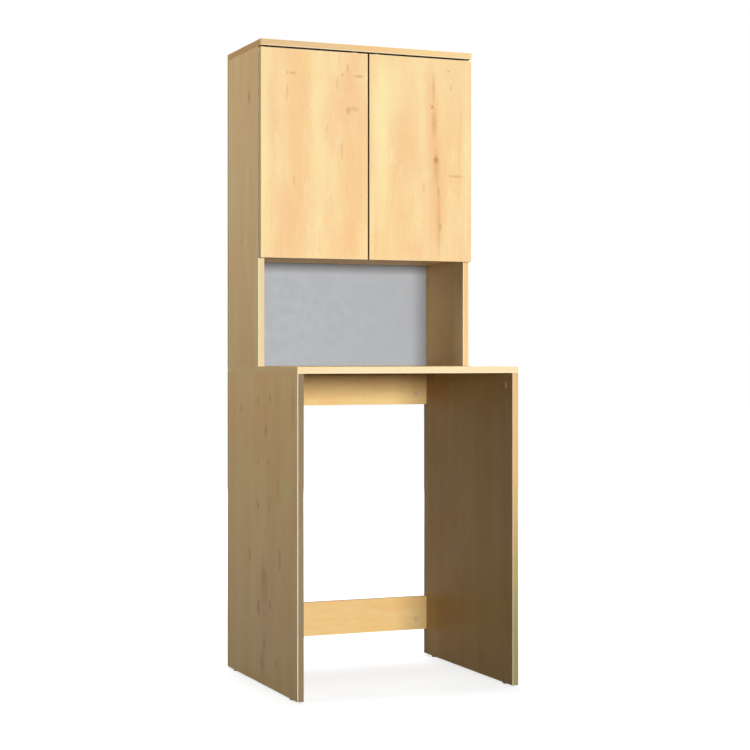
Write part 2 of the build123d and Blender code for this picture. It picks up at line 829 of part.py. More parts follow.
def back_panel():
    """The thin back panel, from the worktop into the top panel's groove."""
    side = inner_x + groove_depth - groove_slack
    top = top_underside + groove_depth - groove_slack
    panel = block(-side, side, back_front_y, back_rear_y, worktop_height, top)
    start = (-bracket_spacing / 2, back_front_y - overrun, top_underside - bracket_hole_drop)
    return cut(panel, both_sides(rod(start, (0, 1, 0), back_hole_radius, back_board + overrun * 2)))


# Wall brackets


def bracket_screw_places():
    """The underside of the left bracket at each of its screws."""
    x, y = -bracket_spacing / 2, back_front_y - bracket_screw_setback
    return [(x + sign * bracket_screw_pair / 2, y, top_underside - bracket_sheet) for sign in (-1, 1)]


def wall_bracket():
    """The left angle bracket, with a hole for a wall screw in its upright leg."""
    middle = -bracket_spacing / 2
    x0, x1 = middle - bracket_width / 2, middle + bracket_width / 2
    y0, y1 = back_front_y - bracket_leg, back_front_y
    z0, z1 = top_underside - bracket_leg, top_underside
    angle = block(x0, x1, y0, y1, z1 - bracket_sheet, z1) + block(x0, x1, y1 - bracket_sheet, y1, z0, z1)
    corner = angle.edges().filter_by(Axis.X).sort_by_distance((middle, y1, z1))[0]
    angle = fillet(corner, bracket_bend_radius)
    hole = rod((middle, y0, z1 - bracket_hole_drop), (0, 1, 0), bracket_hole_radius, bracket_leg + overrun)
    through = bracket_sheet + overrun
    return cut(angle, [hole] + screw_holes(bracket_screw_places(), bracket_screw_radius, through))


def bracket_screws():
    """The left bracket's two screws."""
    size = (bracket_screw_radius, bracket_screw_length, bracket_screw_head_radius, bracket_screw_head)
    return [screw(place, (0, 0, 1), *size) for place in bracket_screw_places()]


def write_pair(name, solids):
    """The left and the right piece, each in its own node."""
    write("left_" + name, *solids)
    write("right_" + name, *[mirror(solid, about=Plane.YZ) for solid in solids])


def write_twins(name, solids):
    """The pieces of both sides in one node."""
    write(name, *[copy for solid in solids for copy in both_sides(solid)])


def main():
    os.makedirs("parts", exist_ok=True)
    boards = ("lower_side", "upper_side", "worktop", "top_panel", "cupboard_base", "door")
    cuts = {name: [] for name in boards + tuple(rail_bottoms())}
    for name, solids in fittings(cuts).items():
        write(name, *solids)

    nail_top = glide_height / 2 + glide_nail_length + gap
    for x, y in glide_places():
        cuts["lower_side"].append(rod((x, y, 0), (0, 0, 1), glide_nail_radius + slip, nail_top))
    write_twins("floor_glides", [glide(x, y) for x, y in glide_places()])

    door_hinge_nodes = ("hinge_cups", "hinge_cup_pins", "hinge_cup_screws", "hinge_links")
    for name, solids in hinges(cuts).items():
        if name in door_hinge_nodes:
            write_pair(name, solids)
        else:
            write_twins(name, solids)

    latch_depth, bracket_depth = latch_screw_length + gap, bracket_screw_length + gap
    cuts["top_panel"] += screw_holes(latch_screw_places(), latch_screw_radius, latch_depth)
    cuts["top_panel"] += screw_holes(bracket_screw_places(), bracket_screw_radius, bracket_depth)
    cuts["upper_side"] += shelf_pin_holes()
    cuts["door"].append(striker_hole())

    plate, plate_screw = striker()
    pairs = {
        "lower_side": [lower_side(cuts["lower_side"])],
        "upper_side": [upper_side(cuts["upper_side"])],
        "door": [door_panel(cuts["door"])],
        "door_edge_bands": door_bands(),
        "door_bumper": [door_bumper()],
        "latch_striker": [plate],
        "latch_striker_screw": [plate_screw],
        "latch_plunger": [plunger()],
        "latch_spring": [latch_spring()],
    }
    for name, solids in pairs.items():
        write_pair(name, solids)

    low_band = front_band(-half_width, -inner_x, front_y, glide_height, bay_ceiling, Axis.Z)
    high_band = front_band(-half_width, -inner_x, side_front_y, worktop_height, top_underside, Axis.Z)
    twins = {
        "latch_bodies": [latch_body()],
        "latch_screws": latch_screws(),
        "shelf_pins": shelf_pins(),
        "wall_brackets": [wall_bracket()],
        "wall_bracket_screws": bracket_screws(),
        "lower_side_edge_bands": [low_band],
        "upper_side_edge_bands": [high_band],
    }
    for name, solids in twins.items():
        write_twins(name, solids)

    write("worktop", capping_board(front_y, bay_ceiling, worktop_height, cuts["worktop"]))
    write("worktop_edge_bands", *capping_bands(front_y, bay_ceiling, worktop_height))
    top_panel = capping_board(upper_front_y, top_underside, overall_height, cuts["top_panel"])
    groove_x = inner_x + groove_depth
    groove_top = top_underside + groove_depth
    groove = block(-groove_x, groove_x, groove_front_y, groove_rear_y, top_underside - overrun, groove_top)
    write("top_panel", top_panel - groove)
    write("top_panel_edge_bands", *capping_bands(upper_front_y, top_underside, overall_height))

    base_front = side_front_y + band
    base = across_board(base_front, back_front_y, base_underside, base_top, cuts["cupboard_base"])
    write("cupboard_base", base)
    base_band = front_band(-inner_x, inner_x, side_front_y, base_underside, base_top, Axis.X)
    write("cupboard_base_edge_band", base_band)
    for rail, bottom in rail_bottoms().items():
        write(rail, across_board(wall_y - board, wall_y, bottom, bottom + rail_height, cuts[rail]))

    shelf_x = inner_x - shelf_end_gap
    shelf_y0, shelf_y1 = side_front_y + shelf_setback, back_front_y - shelf_back_gap
    shelf_top = shelf_height + board
    write("shelf", block(-shelf_x, shelf_x, shelf_y0 + band, shelf_y1, shelf_height, shelf_top))
    write("shelf_edge_band", front_band(-shelf_x, shelf_x, shelf_y0, shelf_height, shelf_top, Axis.X))
    write("back_panel", back_panel())


main()
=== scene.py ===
import math

import bpy
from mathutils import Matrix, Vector


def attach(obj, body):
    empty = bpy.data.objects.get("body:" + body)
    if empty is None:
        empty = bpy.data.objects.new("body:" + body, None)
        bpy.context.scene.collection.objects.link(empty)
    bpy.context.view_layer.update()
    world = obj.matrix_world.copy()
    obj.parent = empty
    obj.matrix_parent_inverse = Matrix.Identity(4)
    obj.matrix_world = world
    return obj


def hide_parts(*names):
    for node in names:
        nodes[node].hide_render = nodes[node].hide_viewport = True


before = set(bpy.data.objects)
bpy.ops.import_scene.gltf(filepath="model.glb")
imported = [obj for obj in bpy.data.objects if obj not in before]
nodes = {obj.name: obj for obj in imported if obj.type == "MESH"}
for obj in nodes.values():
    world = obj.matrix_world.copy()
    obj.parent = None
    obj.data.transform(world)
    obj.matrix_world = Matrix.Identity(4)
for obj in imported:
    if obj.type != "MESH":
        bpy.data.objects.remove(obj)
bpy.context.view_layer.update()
print("frame loaded:", len(nodes), "nodes")


def srgb(red, green, blue):  # a colour as it is seen, 0 to 255
    def linear(value):
        value /= 255
        return value / 12.92 if value <= 0.04045 else ((value + 0.055) / 1.055) ** 2.4
    return linear(red), linear(green), linear(blue), 1.0


def addNode(tree, kind, inputs, **settings):
    node = tree.nodes.new(kind)
    for name, value in settings.items():
        setattr(node, name, value)
    for name, value in inputs.items():
        if isinstance(value, bpy.types.NodeSocket):
            tree.links.new(value, node.inputs[name])
        else:
            node.inputs[name].default_value = value
    return node


def calc(tree, operation, first, second=0.0):
    return addNode(tree, "ShaderNodeMath", {0: first, 1: second}, operation=operation).outputs[0]


def times(tree, first, second):
    return calc(tree, "MULTIPLY", first, second)


def turnTo(tree, vector, scale=(1.0, 1.0, 1.0), offset=(0.0, 0.0, 0.0), angles=(0.0, 0.0, 0.0)):
    inputs = {"Vector": vector, "Scale": scale, "Location": offset, "Rotation": angles}
    return addNode(tree, "ShaderNodeMapping", inputs).outputs[0]


def noise(tree, vector, scale, detail=2.0, seed=0.0):
    inputs = {"Vector": vector, "Scale": scale, "Detail": detail, "W": seed, "Roughness": 0.5}
    return addNode(tree, "ShaderNodeTexNoise", inputs, noise_dimensions="4D").outputs[0]


def spread(tree, value, low, high, lowest=0.0, highest=1.0):
    inputs = {"Value": value, "From Min": low, "From Max": high, "To Min": lowest, "To Max": highest}
    return addNode(tree, "ShaderNodeMapRange", inputs, interpolation_type="SMOOTHSTEP").outputs[0]


def mixColors(tree, share, first, second, mode="MIX"):
    inputs = {0: share, 6: first, 7: second}
    return addNode(tree, "ShaderNodeMix", inputs, data_type="RGBA", blend_type=mode).outputs[2]


def tint(tree, color, tone):
    return mixColors(tree, 1.0, color, tone, "MULTIPLY")


def splitAxes(tree, vector):
    return addNode(tree, "ShaderNodeSeparateXYZ", {"Vector": vector}).outputs


def newGroup(name, inputs, outputs):
    group = bpy.data.node_groups.new(name, "ShaderNodeTree")
    kinds = {"color": "NodeSocketColor", "vector": "NodeSocketVector", "value": "NodeSocketFloat"}
    for socketName, kind, value in inputs:
        socket = group.interface.new_socket(name=socketName, in_out="INPUT", socket_type=kinds[kind])
        if value is not None:
            socket.default_value = value
    for socketName, kind in outputs:
        group.interface.new_socket(name=socketName, in_out="OUTPUT", socket_type=kinds[kind])
    start = group.nodes.new("NodeGroupInput")
    end = group.nodes.new("NodeGroupOutput")
    return group, start.outputs, end.inputs


def useGroup(tree, group, inputs):
    return addNode(tree, "ShaderNodeGroup", inputs, node_tree=group).outputs


# Beech print of the melamine faces, with the grain along Z
beechPrint = {
    "cream": srgb(255, 227, 172),
    "honey": srgb(251, 208, 146),
    "rose": srgb(250, 203, 152),
    "fibre": srgb(230, 186, 128),
    "pore": srgb(200, 150, 94),
    "fleck": srgb(255, 236, 188),
    "ground": (0.32, 0.68, 0.1, 0.85),  # the broad layer's range, with the share of honey at both ends
    "pores": (0.73, 0.8),
    "poreShare": 0.35,
    "fibreHeight": 0.4,
    "roughness": (0.3, 0.7, 0.42, 0.52),
    "bendReach": 0.05,
}
# Layers of the print: how much each is drawn out along the grain, its scale, its detail and its own seed
printLayers = {
    "bend": (0.25, 3.0, 1.0, 0.0),
    "broad": (0.16, 11.0, 2.0, 0.0),
    "patches": (0.45, 7.0, 3.0, 5.0),
    "stripes": (0.035, 60.0, 2.0, 0.0),
    "fibres": (0.012, 420.0, 3.0, 0.0),
    "specks": (0.09, 520.0, 0.0, 9.0),
    "mottle": (0.4, 38.0, 3.0, 7.0),
    "flecks": (0.2, 210.0, 2.0, 3.0),
}
# What lies over the ground: a layer, its range and the share at both ends, what scales it, a colour
printCoats = [
    ("patches", (0.46, 0.66, 0.0, 0.75), "Clouds", "rose"),
    ("stripes", (0.5, 0.8, 0.0, 0.22), "Fibres", "fibre"),
    ("fibres", (0.42, 0.75, 0.0, 0.16), "Fibres", "fibre"),
    ("mottle", (0.5, 0.72, 0.0, 0.5), "Clouds", "honey"),
    ("mottle", (0.28, 0.48, 0.5, 0.0), "Clouds", "cream"),
    ("flecks", (0.56, 0.7, 0.0, 0.3), "Fibres", "fleck"),
]


def printLayer(group, name, vector, seed):
    drawn, scale, detail, ownSeed = printLayers[name]
    place = turnTo(group, vector, (1.0, 1.0, drawn))
    return noise(group, place, scale, detail, calc(group, "ADD", seed, ownSeed))


def makeGrainGroup():
    group, given, out = newGroup(
        "beechGrain",
        [("Vector", "vector", None), ("Seed", "value", 0.0), ("Clouds", "value", 1.0),
         ("Fibres", "value", 1.0)],
        [("Color", "color"), ("Roughness", "value"), ("Height", "value")],
    )
    vector, seed = given["Vector"], given["Seed"]
    bend = calc(group, "SUBTRACT", printLayer(group, "bend", vector, seed), 0.5)
    sway = times(group, bend, beechPrint["bendReach"])
    shift = addNode(group, "ShaderNodeCombineXYZ", {"X": sway, "Y": sway, "Z": 0.0}).outputs[0]
    place = addNode(group, "ShaderNodeVectorMath", {0: vector, 1: shift}, operation="ADD").outputs[0]
    layers = {name: printLayer(group, name, place, seed) for name in printLayers if name != "bend"}
    ground = spread(group, layers["broad"], *beechPrint["ground"])
    color = mixColors(group, ground, beechPrint["cream"], beechPrint["honey"])
    for name, strength, scaledBy, tone in printCoats:
        share = times(group, spread(group, layers[name], *strength), given[scaledBy])
        color = mixColors(group, share, color, beechPrint[tone])
    pores = spread(group, layers["specks"], *beechPrint["pores"])
    color = mixColors(group, times(group, pores, beechPrint["poreShare"]), color, beechPrint["pore"])
    height = calc(group, "SUBTRACT", times(group, layers["fibres"], beechPrint["fibreHeight"]), pores)
    group.links.new(color, out["Color"])
    group.links.new(spread(group, layers["fibres"], *beechPrint["roughness"]), out["Roughness"])
    group.links.new(height, out["Height"])
    return group


# Knots, ticks and clouds, listed one by one, with a ragged edge that fades out
printMarks = {
    "knot": srgb(178, 126, 74),
    "tick": srgb(196, 146, 92),
    "flame": srgb(246, 190, 136),
    "sun": srgb(255, 238, 178),
    "shade": srgb(246, 200, 142),
    # colour of the painted shade line along the rear edges of the sides
    "edge": srgb(128, 84, 52),
    "raggedScale": 150.0,
    "raggedDetail": 2.0,
    "fade": (0.1, 1.0, 1.0, 0.0),
}


def makeMarkGroup():
    group, given, out = newGroup(
        "grainMark",
        [("Vector", "vector", None), ("Place", "vector", (0.0, 0.0, 0.0)),
         ("Size", "vector", (0.01, 0.01, 0.01)), ("Strength", "value", 0.5), ("Ragged", "value", 0.5)],
        [("Mask", "value")],
    )
    vector = given["Vector"]
    away = addNode(group, "ShaderNodeVectorMath", {0: vector, 1: given["Place"]}, operation="SUBTRACT")
    inputs = {0: away.outputs[0], 1: given["Size"]}
    unit = addNode(group, "ShaderNodeVectorMath", inputs, operation="DIVIDE").outputs[0]
    distance = addNode(group, "ShaderNodeVectorMath", {0: unit}, operation="LENGTH").outputs["Value"]
    rough = noise(group, vector, printMarks["raggedScale"], printMarks["raggedDetail"])
    rough = times(group, calc(group, "SUBTRACT", rough, 0.5), given["Ragged"])
    mask = spread(group, calc(group, "ADD", distance, rough), *printMarks["fade"])
    group.links.new(times(group, mask, given["Strength"]), out["Mask"])
    return group


# Bare particle board, where a board was sawn or drilled
particleBoard = {
    "chip": srgb(168, 130, 86),
    "paleChip": srgb(226, 194, 146),
    "pit": srgb(120, 86, 52),
    "chipScale": 700.0,
    "pitScale": 900.0,
    "pits": (0.6, 0.7, 0.0, 0.6),
}


def makeChipGroup():
    group, given, out = newGroup(
        "particleBoard",
        [("Vector", "vector", None), ("Seed", "value", 0.0)],
        [("Color", "color"), ("Height", "value")],
    )
    vector = given["Vector"]
    inputs = {"Vector": vector, "Scale": particleBoard["chipScale"], "Randomness": 1.0}
    cells = addNode(group, "ShaderNodeTexVoronoi", inputs).outputs["Color"]
    chip = addNode(group, "ShaderNodeSeparateColor", {"Color": cells}).outputs[0]
    color = mixColors(group, chip, particleBoard["chip"], particleBoard["paleChip"])
    pits = noise(group, vector, particleBoard["pitScale"], 1.0, given["Seed"])
    pits = spread(group, pits, *particleBoard["pits"])
    color = mixColors(group, pits, color, particleBoard["pit"])
    group.links.new(color, out["Color"])
    group.links.new(calc(group, "ADD", chip, pits), out["Height"])
    return group


grainGroup = makeGrainGroup()
markGroup = makeMarkGroup()
chipGroup = makeChipGroup()
print("shared surface effects made")


def newMaterial(name):
    material = bpy.data.materials.new(name)
    material.use_nodes = True
    tree = material.node_tree
    tree.nodes.clear()
    shader = tree.nodes.new("ShaderNodeBsdfPrincipled")
    end = tree.nodes.new("ShaderNodeOutputMaterial")
    tree.links.new(shader.outputs[0], end.inputs["Surface"])
    where = addNode(tree, "ShaderNodeTexCoord", {}).outputs
    return material, tree, shader.inputs, where


def bumpInto(tree, shader, height, strength, depth):
    bump = addNode(tree, "ShaderNodeBump", {"Height": height, "Strength": strength, "Distance": depth})
    tree.links.new(bump.outputs[0], shader["Normal"])


calmLight = {"share": 0.6, "tone": srgb(40, 44, 48)}


def calmBounce(tree, color):  # light thrown from board to board is kept low, as in even studio light
    bounced = addNode(tree, "ShaderNodeLightPath", {}).outputs["Is Diffuse Ray"]
    return mixColors(tree, times(tree, bounced, calmLight["share"]), color, calmLight["tone"])


def dress(node, material):
    slots = nodes[node].material_slots
    if not slots:
        nodes[node].data.materials.append(material)
    for slot in slots:
        slot.material = material


grainTurns = {"X": (0.0, math.pi / 2, 0.0), "Y": (math.pi / 2, 0.0, 0.0), "Z": (0.0, 0.0, 0.0)}


def grainPlace(tree, where, grain, seed, shift):  # turns the print to the board, moved on for each seed
    return turnTo(tree, where["Object"], offset=[seed * part for part in shift], angles=grainTurns[grain])


boardFinish = {
    "seedShift": (0.37, 0.0, 0.53),
    "facesDown": (-0.9, -0.8, 1.0, 0.0),
    "shadeStripFade": 0.001,
    "rearShadeFade": 0.0015,
    "rearShadeShare": 0.8,
    "sawn": (0.5, 0.6, 1.0, 0.0),
    "sawnRoughness": 0.4,
    "bump": (0.25, 0.0002),
    "shine": 0.08,
}


def boardMaterial(name, face, grain, seed, marks=(), clouds=1.0, sheet=(255, 255, 255),
                  rearShadeLine=None, paintedShadeStrip=None):
    material, tree, shader, where = newMaterial(name)
    turned = grainPlace(tree, where, grain, seed, boardFinish["seedShift"])
    wood = useGroup(tree, grainGroup, {"Vector": turned, "Seed": seed, "Clouds": clouds})
    color = tint(tree, wood["Color"], srgb(*sheet))
    for kind, place, size, strength in marks:
        inputs = {"Vector": where["Object"], "Place": place, "Size": size, "Strength": strength}
        color = mixColors(tree, useGroup(tree, markGroup, inputs)["Mask"], color, printMarks[kind])
    fromFront = splitAxes(tree, where["Object"])["Y"]
    outward = splitAxes(tree, where["Normal"])
    if paintedShadeStrip:  # painted shade on the underside strip over the doors
        below = spread(tree, outward["Z"], *boardFinish["facesDown"])
        strip = spread(tree, fromFront, paintedShadeStrip, paintedShadeStrip + boardFinish["shadeStripFade"], 1.0, 0.0)
        color = mixColors(tree, times(tree, below, strip), color, printMarks["tick"])
    if rearShadeLine:  # painted shade: a dark line along the rear edge of the side
        rearShadeMask = spread(tree, fromFront, rearShadeLine, rearShadeLine + boardFinish["rearShadeFade"], 0.0,
                     boardFinish["rearShadeShare"])
        color = mixColors(tree, rearShadeMask, color, printMarks["edge"])
    across = calc(tree, "ABSOLUTE", outward[face])
    sawn = spread(tree, across, *boardFinish["sawn"])
    chips = useGroup(tree, chipGroup, {"Vector": where["Object"], "Seed": seed})
    color = calmBounce(tree, mixColors(tree, sawn, color, chips["Color"]))
    rough = calc(tree, "ADD", wood["Roughness"], times(tree, sawn, boardFinish["sawnRoughness"]))
    height = calc(tree, "ADD", wood["Height"], times(tree, sawn, chips["Height"]))
    tree.links.new(color, shader["Base Color"])
    tree.links.new(rough, shader["Roughness"])
    bumpInto(tree, shader, height, *boardFinish["bump"])
    shader["Specular IOR Level"].default_value = boardFinish["shine"]
    return material


# Boards: the axis across the board, the grain's axis, a seed each and what sets the print's look
lowerPrint = {"face": "X", "grain": "Z", "clouds": 0.6, "sheet": (255, 249, 230), "rearShadeLine": 0.293}
upperPrint = {"face": "X", "grain": "Z", "clouds": 0.6, "sheet": (255, 251, 240), "rearShadeLine": 0.293}
flatPrint = {"face": "Z", "grain": "X", "sheet": (255, 250, 230)}
railPrint = {"face": "Y", "grain": "X", "sheet": (255, 250, 230)}
boards = {
    "left_lower_side": {**lowerPrint, "seed": 1.0},
    "right_lower_side": {**lowerPrint, "seed": 2.0},
    "left_upper_side": {**upperPrint, "seed": 3.0},
    "right_upper_side": {**upperPrint, "seed": 4.0},
    "worktop": {**flatPrint, "seed": 5.0},
    "top_panel": {"face": "Z", "grain": "X", "seed": 6.0, "paintedShadeStrip": 0.021},
    "cupboard_base": {**flatPrint, "seed": 7.0},
    "shelf": {**flatPrint, "seed": 8.0},
    "rear_rail_top": {**railPrint, "seed": 9.0},
    "rear_rail_low": {**railPrint, "seed": 10.0},
    "left_door": {"face": "Y", "grain": "Z", "seed": 11.0},
    "right_door": {"face": "Y", "grain": "Z", "seed": 12.0},
}
# Marks listed one by one: kind, place, size and strength
boardMarks = {
    "left_door": [
        ("sun", (-0.316, 0.0, 1.50), (0.030, 0.03, 0.50), 0.6),
        ("shade", (-0.224, 0.0, 1.62), (0.055, 0.03, 0.34), 0.35),
        ("shade", (-0.235, 0.0, 1.30), (0.075, 0.03, 0.18), 0.5),
        ("sun", (-0.155, 0.0, 1.58), (0.038, 0.03, 0.42), 0.45),
        ("flame", (-0.060, 0.0, 1.66), (0.050, 0.03, 0.20), 0.25),
        ("shade", (-0.050, 0.0, 1.42), (0.065, 0.03, 0.20), 0.5),
        ("flame", (-0.055, 0.0, 1.25), (0.050, 0.03, 0.10), 0.35),
        ("tick", (-0.246, 0.0, 1.710), (0.004, 0.03, 0.009), 0.45),
        ("tick", (-0.230, 0.0, 1.709), (0.016, 0.03, 0.006), 0.5),
        ("tick", (-0.064, 0.0, 1.732), (0.007, 0.03, 0.020), 0.35),
        ("tick", (-0.030, 0.0, 1.711), (0.022, 0.03, 0.006), 0.55),
        ("tick", (-0.080, 0.0, 1.712), (0.006, 0.03, 0.010), 0.35),
        ("tick", (-0.096, 0.0, 1.690), (0.007, 0.03, 0.026), 0.3),
        ("knot", (-0.062, 0.0, 1.611), (0.010, 0.03, 0.016), 0.4),
        ("tick", (-0.044, 0.0, 1.618), (0.024, 0.03, 0.012), 0.25),
        ("tick", (-0.246, 0.0, 1.655), (0.005, 0.03, 0.035), 0.25),
        ("tick", (-0.082, 0.0, 1.500), (0.006, 0.03, 0.045), 0.25),
        ("tick", (-0.226, 0.0, 1.408), (0.005, 0.03, 0.024), 0.3),
        ("tick", (-0.128, 0.0, 1.556), (0.006, 0.03, 0.022), 0.2),
        ("sun", (-0.150, 0.0, 1.290), (0.012, 0.03, 0.030), 0.5),
    ],
    "right_door": [
        ("sun", (0.040, 0.0, 1.56), (0.045, 0.03, 0.40), 0.75),
        ("sun", (0.075, 0.0, 1.68), (0.080, 0.03, 0.14), 0.5),
        ("shade", (0.125, 0.0, 1.55), (0.050, 0.03, 0.26), 0.4),
        ("shade", (0.115, 0.0, 1.27), (0.045, 0.03, 0.16), 0.45),
        ("flame", (0.200, 0.0, 1.665), (0.028, 0.03, 0.15), 0.5),
        ("flame", (0.206, 0.0, 1.530), (0.034, 0.03, 0.16), 0.55),
        ("flame", (0.216, 0.0, 1.330), (0.038, 0.03, 0.22), 0.6),
        ("sun", (0.310, 0.0, 1.48), (0.026, 0.03, 0.50), 0.5),
        ("tick", (0.203, 0.0, 1.690), (0.007, 0.03, 0.060), 0.35),
        ("tick", (0.205, 0.0, 1.590), (0.012, 0.03, 0.060), 0.4),
        ("tick", (0.212, 0.0, 1.465), (0.016, 0.03, 0.075), 0.35),
        ("tick", (0.220, 0.0, 1.300), (0.008, 0.03, 0.150), 0.3),
        ("knot", (0.199, 0.0, 1.636), (0.007, 0.03, 0.009), 0.6),
        ("knot", (0.211, 0.0, 1.483), (0.011, 0.03, 0.016), 0.7),
        ("tick", (0.218, 0.0, 1.392), (0.006, 0.03, 0.024), 0.4),
        ("knot", (0.225, 0.0, 1.290), (0.006, 0.03, 0.020), 0.35),
        ("knot", (0.251, 0.0, 1.742), (0.007, 0.03, 0.006), 0.4),
        ("tick", (0.258, 0.0, 1.694), (0.005, 0.03, 0.010), 0.35),
        ("tick", (0.274, 0.0, 1.438), (0.036, 0.03, 0.005), 0.4),
        ("tick", (0.172, 0.0, 1.402), (0.005, 0.03, 0.022), 0.3),
        ("sun", (0.070, 0.0, 1.490), (0.006, 0.03, 0.040), 0.6),
    ],
    "left_upper_side": [
        ("knot", (-0.325, 0.101, 1.650), (0.03, 0.012, 0.034), 0.55),
        ("tick", (-0.325, 0.170, 1.243), (0.03, 0.01, 0.012), 0.35),
    ],
    "left_lower_side": [
        ("shade", (-0.325, -0.025, 0.15), (0.03, 0.075, 0.20), 0.55),
        ("shade", (-0.325, 0.050, 0.70), (0.03, 0.060, 0.16), 0.3),
        ("tick", (-0.325, -0.265, 0.773), (0.03, 0.030, 0.080), 0.25),
        ("tick", (-0.325, -0.147, 0.554), (0.03, 0.018, 0.070), 0.25),
        ("knot", (-0.325, 0.168, 0.767), (0.03, 0.012, 0.022), 0.35),
        ("knot", (-0.325, 0.021, 0.791), (0.03, 0.012, 0.022), 0.3),
        ("knot", (-0.325, -0.081, 0.795), (0.03, 0.012, 0.024), 0.35),
        ("knot", (-0.325, -0.045, 0.707), (0.03, 0.014, 0.022), 0.4),
        ("knot", (-0.325, 0.021, 0.619), (0.03, 0.012, 0.016), 0.3),
        ("knot", (-0.325, -0.069, 0.624), (0.03, 0.012, 0.016), 0.3),
        ("knot", (-0.325, 0.023, 0.498), (0.03, 0.012, 0.018), 0.6),
        ("tick", (-0.325, -0.074, 0.502), (0.03, 0.016, 0.040), 0.3),
        ("knot", (-0.325, 0.095, 0.351), (0.03, 0.014, 0.036), 0.45),
        ("knot", (-0.325, -0.159, 0.375), (0.03, 0.016, 0.030), 0.45),
        ("knot", (-0.325, -0.160, 0.345), (0.03, 0.014, 0.020), 0.45),
        ("tick", (-0.325, -0.018, 0.290), (0.03, 0.030, 0.120), 0.4),
        ("tick", (-0.325, -0.046, 0.270), (0.03, 0.024, 0.090), 0.4),
        ("knot", (-0.325, -0.030, 0.306), (0.03, 0.014, 0.036), 0.4),
        ("knot", (-0.325, 0.016, 0.216), (0.03, 0.013, 0.034), 0.65),
        ("knot", (-0.325, -0.080, 0.232), (0.03, 0.012, 0.020), 0.5),
        ("tick", (-0.325, -0.052, 0.200), (0.03, 0.036, 0.010), 0.3),
        ("knot", (-0.325, -0.030, 0.118), (0.03, 0.013, 0.028), 0.5),
        ("tick", (-0.325, -0.015, 0.062), (0.03, 0.026, 0.050), 0.4),
        ("knot", (-0.325, -0.135, 0.079), (0.03, 0.012, 0.016), 0.35),
    ],
}
for board, look in boards.items():
    dress(board, boardMaterial(board + "_face", marks=boardMarks.get(board, ()), **look))
print("boards dressed")


bandFinish = {
    "seedShift": (0.41, 0.0, 0.29),
    "clouds": 0.6,
    "fibres": 0.8,
    "side": srgb(255, 253, 240),
    "paper": srgb(254, 243, 204),
    "corner": srgb(255, 242, 208),
    "joint": srgb(150, 112, 70),
    "cornerFade": 0.0008,
    "jointShadeFade": 0.0005,
    "facesFront": (-0.8, -0.6, 1.0, 0.0),
    "facesSide": (0.5, 0.6, 0.0, 1.0),
    "flat": (0.1, 0.3, 1.0, 0.0),
    "outerFrom": 0.32,
    "outerTo": 0.3235,
    "bump": (0.2, 0.0001),
    "shine": 0.08,
}
plainTone = (255, 255, 255)


def toneAlong(tree, where, tone):  # a plain colour, or a change from one tone to the next along an axis
    if len(tone) == 3:
        return srgb(*tone)
    axis, low, high, first, second = tone
    share = spread(tree, splitAxes(tree, where["Object"])[axis], low, high)
    return mixColors(tree, share, toneAlong(tree, where, first), toneAlong(tree, where, second))


def bandMaterial(name, grain, seed, tone=plainTone, lift=0.0, paintedHighlights=(), gapShade=None, gapShadeEnds=1.0,
                 jointShadeAbove=None):
    material, tree, shader, where = newMaterial(name)
    outward = splitAxes(tree, where["Normal"])
    place = splitAxes(tree, where["Object"])
    turned = grainPlace(tree, where, grain, seed, bandFinish["seedShift"])
    if grain == "X":  # the end bands' grain runs from front to back
        ends = spread(tree, calc(tree, "ABSOLUTE", outward["X"]), *bandFinish["facesSide"])
        inputs = {0: ends, 4: turned, 5: grainPlace(tree, where, "Y", seed, bandFinish["seedShift"])}
        turned = addNode(tree, "ShaderNodeMix", inputs, data_type="VECTOR").outputs[1]
    inputs = {"Vector": turned, "Seed": seed, "Clouds": bandFinish["clouds"],
              "Fibres": bandFinish["fibres"]}
    wood = useGroup(tree, grainGroup, inputs)
    if not isinstance(lift, float):
        axis, *change = lift
        lift = spread(tree, place[axis], *change)
    front = spread(tree, outward["Y"], *bandFinish["facesFront"])
    lifted = mixColors(tree, lift, wood["Color"], bandFinish["paper"])
    lifted = tint(tree, lifted, toneAlong(tree, where, tone))
    color = mixColors(tree, front, tint(tree, wood["Color"], bandFinish["side"]), lifted)
    for axis, middle, width, strength in paintedHighlights:  # painted highlight on the rounded corner
        away = calc(tree, "ABSOLUTE", calc(tree, "SUBTRACT", place[axis], middle))
        light = spread(tree, away, width, width + bandFinish["cornerFade"], strength, 0.0)
        if axis == "Z":
            light = times(tree, light, front)
        color = mixColors(tree, light, color, bandFinish["corner"])
    if gapShade:  # painted shade on the flat sides of a band, in the joint between two pieces, softer at the outer ends
        flat = spread(tree, calc(tree, "ABSOLUTE", outward["Y"]), *bandFinish["flat"])
        ends = spread(tree, calc(tree, "ABSOLUTE", place["X"]), bandFinish["outerFrom"],
                      bandFinish["outerTo"], 1.0, gapShadeEnds)
        color = mixColors(tree, times(tree, flat, ends), color, tint(tree, color, srgb(*gapShade)))
    if jointShadeAbove:  # painted shade on the end of a band that shows in the open joint over the doors
        share = spread(tree, place["Z"], jointShadeAbove, jointShadeAbove + bandFinish["jointShadeFade"])
        color = mixColors(tree, share, color, bandFinish["joint"])
    tree.links.new(calmBounce(tree, color), shader["Base Color"])
    tree.links.new(wood["Roughness"], shader["Roughness"])
    bumpInto(tree, shader, wood["Height"], *bandFinish["bump"])
    shader["Specular IOR Level"].default_value = bandFinish["shine"]
    return material
